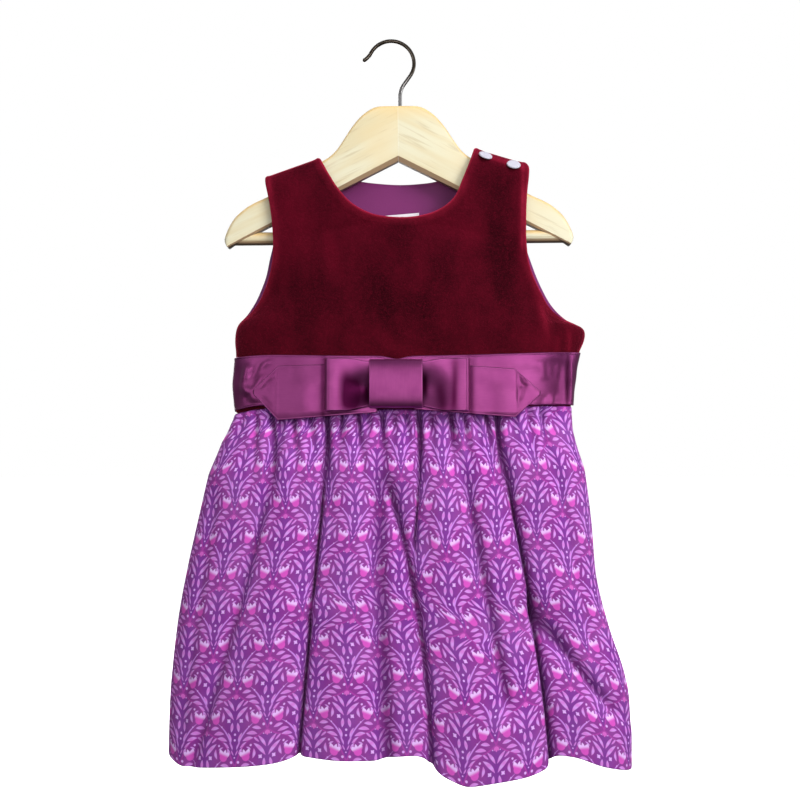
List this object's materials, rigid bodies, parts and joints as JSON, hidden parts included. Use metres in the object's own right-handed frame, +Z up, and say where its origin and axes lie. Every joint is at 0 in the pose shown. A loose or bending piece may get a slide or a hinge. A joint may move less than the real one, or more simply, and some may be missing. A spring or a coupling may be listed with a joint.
{
  "type": "toddler dress on a wooden clothes hanger",
  "caption": "Sleeveless toddler dress with velvet bodice, satin sash with flat bow and gathered printed skirt, hanging on a wooden hanger.",
  "frame": {"origin": "inside the top of the hanger's hook, straight above its shank, where a rail carries it", "axes": "+Z up along the hanging dress, -Y towards the front of the dress, +X to the right as seen from the front"},
  "size_m": [0.3965, 0.0953, 0.6373],
  "materials": {
    "velvet": "short dense pile, dark, crimson along its edges",
    "lining": "plain woven cotton lining",
    "label_tape": "woven label, bare",
    "satin": "double-faced satin ribbon",
    "cotton_print": "printed poplin, small flower and leaf scallops",
    "cap_plastic": "moulded press-stud cap",
    "beech": "pale wood, clear varnish",
    "hook_steel": "bright plated wire"
  },
  "bodies": {
    "root": {"bodice_front": "velvet", "bodice_back": "velvet", "back_lining": "lining", "neck_label": "label_tape", "sash_front": "satin", "sash_back": "satin", "bow_tail_left": "satin", "bow_tail_right": "satin", "bow_loop_left": "satin", "bow_loop_right": "satin", "bow_knot": "satin", "skirt_front": "cotton_print", "skirt_back": "cotton_print", "snap_cap_inner": "cap_plastic", "snap_cap_outer": "cap_plastic", "hanger_arm_left": "beech", "hanger_arm_right": "beech", "hanger_bar": "beech", "hanger_hook": "hook_steel"}
  },
  "joints": []
}
